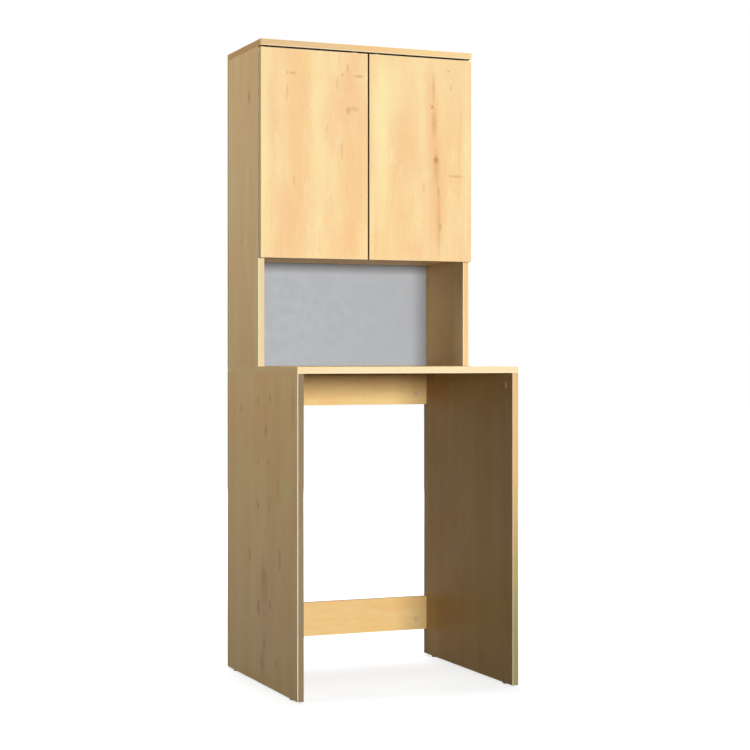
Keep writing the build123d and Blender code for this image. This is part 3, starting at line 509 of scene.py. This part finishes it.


# Edge bands: the tone over the print, how pale it is, and the painted highlight lines on its corners as
# axis, middle, half width and strength. A tone or a lift can change along an axis, from one place to
# another.
bands = {
    "lower_side_edge_bands": {
        "grain": "Z",
        "seed": 21.0,
        # painted shade on the band fronts: darker grey on the left band, darker towards the floor on the
        # right band
        "tone": ("X", -0.01, 0.01, (150, 152, 163), ("Z", 0.10, 0.68, (157, 173, 154), (236, 230, 220))),
        "paintedHighlights": [("X", -0.3241, 0.0008, 1.0), ("X", 0.3075, 0.001, 0.5)],
    },
    "upper_side_edge_bands": {
        "grain": "Z",
        "seed": 22.0,
        "tone": ("X", -0.01, 0.01, (242, 246, 242), (255, 251, 245)),
        "lift": ("X", -0.01, 0.01, 0.35, 0.0),
        "paintedHighlights": [("X", -0.3239, 0.001, 1.0), ("X", 0.3078, 0.001, 1.0), ("X", 0.324, 0.001, 0.7)],
        "jointShadeAbove": 1.7765,
    },
    "worktop_edge_bands": {
        "grain": "X",
        "seed": 23.0,
        "tone": ("X", -0.33, -0.15, (255, 237, 222), (254, 246, 240)),
        "lift": 0.8,
        "paintedHighlights": [("Z", 0.8692, 0.0012, 0.6)],
    },
    "top_panel_edge_bands": {
        "grain": "X",
        "seed": 24.0,
        "tone": ("X", -0.325, 0.22, (231, 222, 218), (254, 252, 248)),
        "paintedHighlights": [("Z", 1.7828, 0.0012, 0.7)],
        "gapShade": (226, 214, 202),
    },
    "cupboard_base_edge_band": {"grain": "X", "seed": 25.0},
    "shelf_edge_band": {"grain": "X", "seed": 26.0},
    "left_door_edge_bands": {
        "grain": "Z", "seed": 27.0, "lift": 0.5, "gapShade": (206, 196, 178), "gapShadeEnds": 0.5,
    },
    "right_door_edge_bands": {
        "grain": "Z", "seed": 28.0, "lift": 0.5, "gapShade": (206, 196, 178), "gapShadeEnds": 0.5,
    },
}
for band, look in bands.items():
    dress(band, bandMaterial(band + "_print", **look))
print("edge bands dressed")


# Thin back panel: painted grey in front, bare hardboard behind
backBoard = {
    "paint": srgb(175, 179, 184),
    "paler": srgb(180, 184, 188),
    "bare": srgb(176, 134, 92),
    "fleck": srgb(142, 102, 66),
    "mottle": (40.0, 4.0),
    "mottleRange": (0.3, 0.7),
    "palerShare": (0.0, 0.12),
    "roughness": (0.5, 0.62),
    "flecks": (600.0, 3.0, 3.0),
    "fleckRange": (0.45, 0.7),
    "facesFront": (-0.6, -0.5, 1.0, 0.0),
    "bump": (0.15, 0.0002),
}


def backMaterial():
    material, tree, shader, where = newMaterial("greyHardboard")
    mottle = noise(tree, where["Object"], *backBoard["mottle"])
    pale = spread(tree, mottle, *backBoard["mottleRange"], *backBoard["palerShare"])
    paint = mixColors(tree, pale, backBoard["paint"], backBoard["paler"])
    fleck = spread(tree, noise(tree, where["Object"], *backBoard["flecks"]), *backBoard["fleckRange"])
    bare = mixColors(tree, fleck, backBoard["bare"], backBoard["fleck"])
    front = spread(tree, splitAxes(tree, where["Normal"])["Y"], *backBoard["facesFront"])
    rough = spread(tree, mottle, *backBoard["mottleRange"], *backBoard["roughness"])
    tree.links.new(mixColors(tree, front, bare, paint), shader["Base Color"])
    tree.links.new(rough, shader["Roughness"])
    bumpInto(tree, shader, fleck, *backBoard["bump"])
    return material


dress("back_panel", backMaterial())


# Fittings: two tones of each finish and its roughness, for metals as the least and for plastics the middle
metals = {
    "nickelPlatedSteel": ((214, 212, 206), (190, 187, 180), 0.24, [
        "hinge_arms", "hinge_plates", "left_hinge_cups", "right_hinge_cups", "left_hinge_links",
        "right_hinge_links", "wall_brackets", "left_latch_striker", "right_latch_striker",
    ]),
    "zincPlatedSteel": ((206, 206, 200), (176, 174, 160), 0.3, [
        "hinge_arm_screws", "hinge_plate_screws", "left_hinge_cup_screws", "right_hinge_cup_screws",
        "latch_screws", "long_screws", "wall_bracket_screws", "left_latch_striker_screw",
        "right_latch_striker_screw", "hinge_arm_pins", "left_hinge_cup_pins", "right_hinge_cup_pins",
        "cam_bolts", "shelf_pins",
    ]),
    "castZinc": ((178, 178, 176), (150, 150, 148), 0.42, ["cam_locks"]),
    "springSteel": ((188, 188, 190), (150, 150, 152), 0.28, ["left_latch_spring", "right_latch_spring"]),
}
metalFinish = {
    "worn": (300.0, 4.0),
    "wornRange": (0.3, 0.7),
    "wornRoughness": 0.14,
    "smudge": (45.0, 3.0, 2.0),
    "smudgeRange": (0.35, 0.7),
    "bump": (0.12, 0.0001),
}
plastics = {
    "greyLatchPlastic": ((206, 206, 202), (196, 196, 192), 0.46, [
        "latch_bodies", "left_latch_plunger", "right_latch_plunger",
    ]),
    "woodTonedCaps": ((238, 206, 156), (228, 192, 138), 0.48, ["cam_covers"]),
    "glidePlastic": ((228, 226, 220), (212, 210, 204), 0.5, ["floor_glides"]),
    "clearBumpers": ((232, 230, 222), (220, 218, 208), 0.3, ["left_door_bumper", "right_door_bumper"]),
}
plasticFinish = {
    "flow": (60.0, 3.0),
    "flowRange": (0.35, 0.65),
    "grain": (2200.0, 1.0),
    "grainRange": (0.3, 0.7),
    "grainRoughness": 0.06,
    "bump": (0.18, 0.00008),
}


def metalMaterial(name, light, dark, roughness):
    material, tree, shader, where = newMaterial(name)
    worn = noise(tree, where["Object"], *metalFinish["worn"])
    smudge = spread(tree, noise(tree, where["Object"], *metalFinish["smudge"]), *metalFinish["smudgeRange"])
    roughest = roughness + metalFinish["wornRoughness"]
    rough = spread(tree, worn, *metalFinish["wornRange"], roughness, roughest)
    tree.links.new(mixColors(tree, smudge, srgb(*light), srgb(*dark)), shader["Base Color"])
    tree.links.new(rough, shader["Roughness"])
    shader["Metallic"].default_value = 1.0
    bumpInto(tree, shader, worn, *metalFinish["bump"])
    return material


def plasticMaterial(name, light, dark, roughness):
    material, tree, shader, where = newMaterial(name)
    flow = spread(tree, noise(tree, where["Object"], *plasticFinish["flow"]), *plasticFinish["flowRange"])
    grain = noise(tree, where["Object"], *plasticFinish["grain"])
    change = plasticFinish["grainRoughness"]
    rough = spread(tree, grain, *plasticFinish["grainRange"], roughness - change, roughness + change)
    tree.links.new(mixColors(tree, flow, srgb(*light), srgb(*dark)), shader["Base Color"])
    tree.links.new(rough, shader["Roughness"])
    bumpInto(tree, shader, grain, *plasticFinish["bump"])
    return material


for finishes, makeFinish in ((metals, metalMaterial), (plastics, plasticMaterial)):
    for finish, (light, dark, roughness, group) in finishes.items():
        material = makeFinish(finish, light, dark, roughness)
        for node in group:
            dress(node, material)
dress("dowels", boardMaterial("beechDowels", "X", "Z", 31.0))
print("fittings dressed")


# Cross-headed screws with real threads, one set for each node: sizes in metres, and the way they point
cupScrews = {"points": "-Y", "headRadius": 0.0032, "headHeight": 0.0016, "shankRadius": 0.0016,
             "length": 0.012, "pitch": 0.0016}
strikerScrews = {"points": "-Y", "headRadius": 0.0026, "headHeight": 0.001, "shankRadius": 0.0015,
                 "length": 0.01, "pitch": 0.0014}
screwSets = {
    "hinge_arm_screws": {"body": "carcass", "points": "X", "headRadius": 0.0036, "headHeight": 0.002,
                         "shankRadius": 0.002, "length": 0.0063, "pitch": 0.0008},
    "hinge_plate_screws": {"body": "carcass", "points": "X", "headRadius": 0.0036, "headHeight": 0.002,
                           "shankRadius": 0.0018, "length": 0.0135, "pitch": 0.0018},
    "left_hinge_cup_screws": {"body": "left_leaf", **cupScrews},
    "right_hinge_cup_screws": {"body": "right_leaf", **cupScrews},
    "latch_screws": {"body": "carcass", "points": "Z", "headRadius": 0.003, "headHeight": 0.0016,
                     "shankRadius": 0.0016, "length": 0.012, "pitch": 0.0016},
    "wall_bracket_screws": {"body": "carcass", "points": "Z", "headRadius": 0.0038, "headHeight": 0.002,
                            "shankRadius": 0.002, "length": 0.013, "pitch": 0.0018},
    "left_latch_striker_screw": {"body": "left_leaf", **strikerScrews},
    "right_latch_striker_screw": {"body": "right_leaf", **strikerScrews},
}
screwInputs = {
    "Head Radius": "headRadius",
    "Head Height": "headHeight",
    "Shank Radius": "shankRadius",
    "Length": "length",
    "Pitch": "pitch",
}
# Their form: counts of sides and steps, then shares of the sizes above
screwForm = {
    "around": 24,
    "domeRings": 8,
    "shankRings": 8,
    "threadSteps": 12,
    "ridgeSides": 4,
    "domeCurve": 2.6,
    "domeFlat": 0.08,
    "core": 0.8,
    "pointFrom": 0.82,
    "pointWidth": 0.25,
    "crossLength": 1.15,
    "crossWidth": 0.24,
    "crossDepth": 1.3,
    "crossRise": -1.05,
    "threadFrom": 0.06,
    "threadLength": 0.84,
    "threadTaper": 0.95,
    "ridge": 0.19,
    "sharpAngle": 0.6,
    "material": "zincPlatedSteel",
}


def toVector(tree, x=0.0, y=0.0, z=0.0):
    return addNode(tree, "ShaderNodeCombineXYZ", {"X": x, "Y": y, "Z": z}).outputs[0]


def sweep(tree, path, profile, scale=1.0):
    inputs = {"Curve": path, "Profile Curve": profile, "Scale": scale, "Fill Caps": True}
    return addNode(tree, "GeometryNodeCurveToMesh", inputs).outputs[0]


def ring(tree, sides, radius):
    inputs = {"Resolution": sides, "Radius": radius}
    return addNode(tree, "GeometryNodeCurvePrimitiveCircle", inputs).outputs[0]


def roundBar(tree, reach, rings, scale):  # a turned form: a line along Z, swept by a circle that changes
    line = addNode(tree, "GeometryNodeCurvePrimitiveLine", {"End": toVector(tree, z=reach)}).outputs[0]
    line = addNode(tree, "GeometryNodeResampleCurve", {"Curve": line, "Count": rings}).outputs[0]
    return sweep(tree, line, ring(tree, screwForm["around"], 1.0), scale)


def shifted(tree, geometry, height):
    inputs = {"Geometry": geometry, "Translation": toVector(tree, z=height)}
    return addNode(tree, "GeometryNodeTransform", inputs).outputs[0]


def joined(tree, pieces):
    node = tree.nodes.new("GeometryNodeJoinGeometry")
    for piece in pieces:
        tree.links.new(piece, node.inputs[0])
    return node.outputs[0]


def makeScrewTree():
    tree = bpy.data.node_groups.new("crossHeadScrews", "GeometryNodeTree")
    tree.interface.new_socket(name="Geometry", in_out="INPUT", socket_type="NodeSocketGeometry")
    for name in screwInputs:
        tree.interface.new_socket(name=name, in_out="INPUT", socket_type="NodeSocketFloat")
    tree.interface.new_socket(name="Material", in_out="INPUT", socket_type="NodeSocketMaterial")
    tree.interface.new_socket(name="Geometry", in_out="OUTPUT", socket_type="NodeSocketGeometry")
    given = tree.nodes.new("NodeGroupInput").outputs
    head, high, shank, length, pitch = (given[name] for name in screwInputs)
    along = addNode(tree, "GeometryNodeSplineParameter", {}).outputs["Factor"]

    # domed head above the seat, the shank below it and a point at its end
    rise = calc(tree, "SUBTRACT", 1.0, calc(tree, "POWER", along, screwForm["domeCurve"]))
    dome = calc(tree, "SQRT", calc(tree, "MAXIMUM", rise, screwForm["domeFlat"]))
    cap = roundBar(tree, times(tree, high, -1.0), screwForm["domeRings"], times(tree, dome, head))
    core = times(tree, shank, screwForm["core"])
    point = spread(tree, along, screwForm["pointFrom"], 1.0, 1.0, screwForm["pointWidth"])
    bar = roundBar(tree, length, screwForm["shankRings"], times(tree, core, point))

    # cross cut in the head
    wide = times(tree, head, screwForm["crossLength"])
    thin = times(tree, head, screwForm["crossWidth"])
    deep = times(tree, high, screwForm["crossDepth"])
    slots = [addNode(tree, "GeometryNodeMeshCube", {"Size": toVector(tree, a, b, deep)}).outputs[0]
             for a, b in ((wide, thin), (thin, wide))]
    cross = shifted(tree, joined(tree, slots), times(tree, high, screwForm["crossRise"]))
    inputs = {"Mesh 1": cap, "Mesh 2": cross, "Self Intersection": True}
    carved = addNode(tree, "GeometryNodeMeshBoolean", inputs, operation="DIFFERENCE", solver="EXACT")

    # thread round the shank
    tail = times(tree, length, screwForm["threadLength"])
    helix = addNode(tree, "GeometryNodeCurveSpiral", {
        "Resolution": screwForm["threadSteps"],
        "Rotations": calc(tree, "DIVIDE", tail, pitch),
        "Start Radius": core,
        "End Radius": times(tree, core, screwForm["threadTaper"]),
        "Height": tail,
    }).outputs[0]
    ridge = ring(tree, screwForm["ridgeSides"], times(tree, shank, screwForm["ridge"]))
    thread = shifted(tree, sweep(tree, helix, ridge), times(tree, length, screwForm["threadFrom"]))

    # smooth but for its sharp edges
    screw = joined(tree, [carved.outputs[0], bar, thread])
    inputs = {"Geometry": screw, "Shade Smooth": True}
    screw = addNode(tree, "GeometryNodeSetShadeSmooth", inputs).outputs[0]
    angle = addNode(tree, "GeometryNodeInputMeshEdgeAngle", {}).outputs["Unsigned Angle"]
    inputs = {0: angle, 1: screwForm["sharpAngle"]}
    sharp = addNode(tree, "FunctionNodeCompare", inputs, operation="GREATER_THAN").outputs[0]
    inputs = {"Geometry": screw, "Selection": sharp, "Shade Smooth": False}
    screw = addNode(tree, "GeometryNodeSetShadeSmooth", inputs, domain="EDGE").outputs[0]

    # one at each point, turned to its aim
    inputs = {"Name": "aim"}
    aim = addNode(tree, "GeometryNodeInputNamedAttribute", inputs, data_type="FLOAT_VECTOR").outputs[0]
    turn = addNode(tree, "FunctionNodeAlignRotationToVector", {"Vector": aim}, axis="Z").outputs[0]
    points = addNode(tree, "GeometryNodeMeshToPoints", {"Mesh": given["Geometry"]}).outputs[0]
    inputs = {"Points": points, "Instance": screw, "Rotation": turn}
    placed = addNode(tree, "GeometryNodeInstanceOnPoints", inputs).outputs[0]
    real = addNode(tree, "GeometryNodeRealizeInstances", {"Geometry": placed}).outputs[0]
    inputs = {"Geometry": real, "Material": given["Material"]}
    done = addNode(tree, "GeometryNodeSetMaterial", inputs).outputs[0]
    tree.links.new(done, tree.nodes.new("NodeGroupOutput").inputs[0])
    return tree


def solidBoxes(node):  # the lowest and highest corner of each solid in a node
    mesh = nodes[node].data
    weldDigits = 6
    names, group = {}, []
    for vertex in mesh.vertices:
        group.append(names.setdefault(tuple(round(value, weldDigits) for value in vertex.co), len(names)))
    leader = list(range(len(names)))

    def find(item):
        while leader[item] != item:
            leader[item] = leader[leader[item]]
            item = leader[item]
        return item

    for face in mesh.polygons:
        first, *others = (group[index] for index in face.vertices)
        for other in others:
            leader[find(other)] = find(first)
    corners = {}
    for place, index in names.items():
        low, high = corners.setdefault(find(index), (list(place), list(place)))
        for axis in range(3):
            low[axis] = min(low[axis], place[axis])
            high[axis] = max(high[axis], place[axis])
    return list(corners.values())


def screwPlaces(node, sizes):  # where each screw's head sits, and the way it points
    way = sizes["points"]
    axis = "XYZ".index(way[-1])
    places, aims = [], []
    for low, high in solidBoxes(node):
        middle = [(a + b) / 2 for a, b in zip(low, high)]
        sign = math.copysign(1.0, middle[0]) if way == "X" else -1.0 if way[0] == "-" else 1.0
        aim = [0.0, 0.0, 0.0]
        aim[axis] = sign
        outer = low[axis] if sign > 0 else high[axis]
        middle[axis] = outer + sign * sizes["headHeight"]
        places.append(middle)
        aims.append(aim)
    return places, aims


def makeScrews(node, sizes, tree):
    places, aims = screwPlaces(node, sizes)
    start = bpy.data.meshes.new(node + "_places")
    start.from_pydata(places, [], [])
    aim = start.attributes.new("aim", "FLOAT_VECTOR", "POINT")
    aim.data.foreach_set("vector", [value for vector in aims for value in vector])
    piece = bpy.data.objects.new("threaded_" + node, start)
    bpy.context.scene.collection.objects.link(piece)
    modifier = piece.modifiers.new("screws", "NODES")
    modifier.node_group = tree
    values = {name: sizes[key] for name, key in screwInputs.items()}
    values["Material"] = bpy.data.materials[screwForm["material"]]
    for item in tree.interface.items_tree:
        if item.in_out == "INPUT" and item.name in values:
            modifier[item.identifier] = values[item.name]
    evaluated = piece.evaluated_get(bpy.context.evaluated_depsgraph_get())
    mesh = bpy.data.meshes.new_from_object(evaluated)
    piece.modifiers.remove(modifier)
    piece.data = mesh
    bpy.data.meshes.remove(start)
    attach(piece, sizes["body"])
    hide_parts(node)
    print(node, len(places), "screws,", sum(len(face.vertices) - 2 for face in mesh.polygons), "triangles")


crossHeadScrews = makeScrewTree()
for node, sizes in screwSets.items():
    makeScrews(node, sizes, crossHeadScrews)


# Plain white studio
studio = {
    "floorSize": 40.0,
    "skyLight": 0.06,
    "floorTone": 0.5,
    "floorBounce": 0.04,
    "floorGlow": 0.75,
    "nearFloor": 0.8,
    "farFloor": 2.4,
}


def viewRays(tree):  # camera, mirror and glass rays see the white studio
    path = addNode(tree, "ShaderNodeLightPath", {}).outputs
    seen = calc(tree, "ADD", path["Is Camera Ray"], path["Is Glossy Ray"])
    return calc(tree, "MINIMUM", calc(tree, "ADD", seen, path["Is Transmission Ray"]), 1.0)


def makeFloor():
    mesh = bpy.data.meshes.new("studioFloor")
    half = studio["floorSize"] / 2
    corners = [(-half, -half, 0), (half, -half, 0), (half, half, 0), (-half, half, 0)]
    mesh.from_pydata(corners, [], [(0, 1, 2, 3)])
    floor = bpy.data.objects.new("studioFloor", mesh)
    bpy.context.scene.collection.objects.link(floor)
    material = bpy.data.materials.new("studioFloor")
    material.use_nodes = True
    tree = material.node_tree
    tree.nodes.clear()
    tone = spread(tree, viewRays(tree), 0.0, 1.0, studio["floorBounce"], studio["floorTone"])
    lit = addNode(tree, "ShaderNodeBsdfDiffuse", {"Color": tone})
    where = addNode(tree, "ShaderNodeTexCoord", {}).outputs["Object"]
    away = addNode(tree, "ShaderNodeVectorMath", {0: where}, operation="LENGTH").outputs["Value"]
    whiter = spread(tree, away, studio["nearFloor"], studio["farFloor"], studio["floorGlow"], 1.0)
    glow = addNode(tree, "ShaderNodeEmission", {"Strength": times(tree, viewRays(tree), whiter)})
    both = addNode(tree, "ShaderNodeAddShader", {0: lit.outputs[0], 1: glow.outputs[0]})
    addNode(tree, "ShaderNodeOutputMaterial", {"Surface": both.outputs[0]})
    mesh.materials.append(material)


def makeWorld():
    world = bpy.data.worlds.new("studioWorld")
    bpy.context.scene.world = world
    world.use_nodes = True
    tree = world.node_tree
    tree.nodes.clear()
    strength = spread(tree, viewRays(tree), 0.0, 1.0, studio["skyLight"], 1.0)
    sky = addNode(tree, "ShaderNodeBackground", {"Color": (1.0, 1.0, 1.0, 1.0), "Strength": strength})
    addNode(tree, "ShaderNodeOutputWorld", {"Surface": sky.outputs[0]})


# Lamps: place, width and height in metres, watts, and the point each one faces
middle, overhead = (0.0, 0.0, 0.9), (0.0, 0.0, 2.8)
lamps = {
    "keySoftbox": ((0.4, -8.2, 1.5), (2.8, 1.1), 615.0, middle),
    "topSoftbox": ((0.0, 0.3, 4.4), (1.4, 1.4), 75.0, middle),
    "leftSoftbox": ((-2.75, 0.05, 1.72), (0.6, 0.6), 24.3, overhead),
    "rightSoftbox": ((2.85, 0.5, 1.35), (0.6, 0.6), 17.0, overhead),
    "rearSoftbox": ((1.6, 6.6, 2.6), (3.4, 3.4), 420.0, middle),
}


def makeLamp(name, place, size, power, aim):
    lamp = bpy.data.lights.new(name, "AREA")
    lamp.shape = "RECTANGLE"
    lamp.size, lamp.size_y = size
    lamp.energy = power
    holder = bpy.data.objects.new(name, lamp)
    holder.location = place
    holder.rotation_euler = (Vector(aim) - Vector(place)).to_track_quat("-Z", "Y").to_euler()
    bpy.context.scene.collection.objects.link(holder)


# Level camera at the photograph's viewpoint: metres, degrees and pixels of its frame
viewpoint = {
    "place": (-1.931256, -4.719872, 0.910297),
    "turn": 22.458,
    "focalPixels": 1787.227,
    "horizonPixel": 357.693,
    "framePixels": 750,
    "sensor": 36.0,
    "clipEnd": 200.0,
}


def makeCamera():
    camera = bpy.data.cameras.new("viewpoint")
    camera.sensor_width = viewpoint["sensor"]
    camera.lens = viewpoint["focalPixels"] / viewpoint["framePixels"] * viewpoint["sensor"]
    camera.shift_y = viewpoint["horizonPixel"] / viewpoint["framePixels"] - 0.5
    camera.clip_end = viewpoint["clipEnd"]
    holder = bpy.data.objects.new("viewpoint", camera)
    holder.location = viewpoint["place"]
    holder.rotation_euler = (math.pi / 2, 0.0, -math.radians(viewpoint["turn"]))
    bpy.context.scene.collection.objects.link(holder)
    bpy.context.scene.camera = holder


makeFloor()
makeWorld()
for lamp, values in lamps.items():
    makeLamp(lamp, *values)
makeCamera()
bpy.context.scene.view_settings.view_transform = "Standard"
print("studio set")
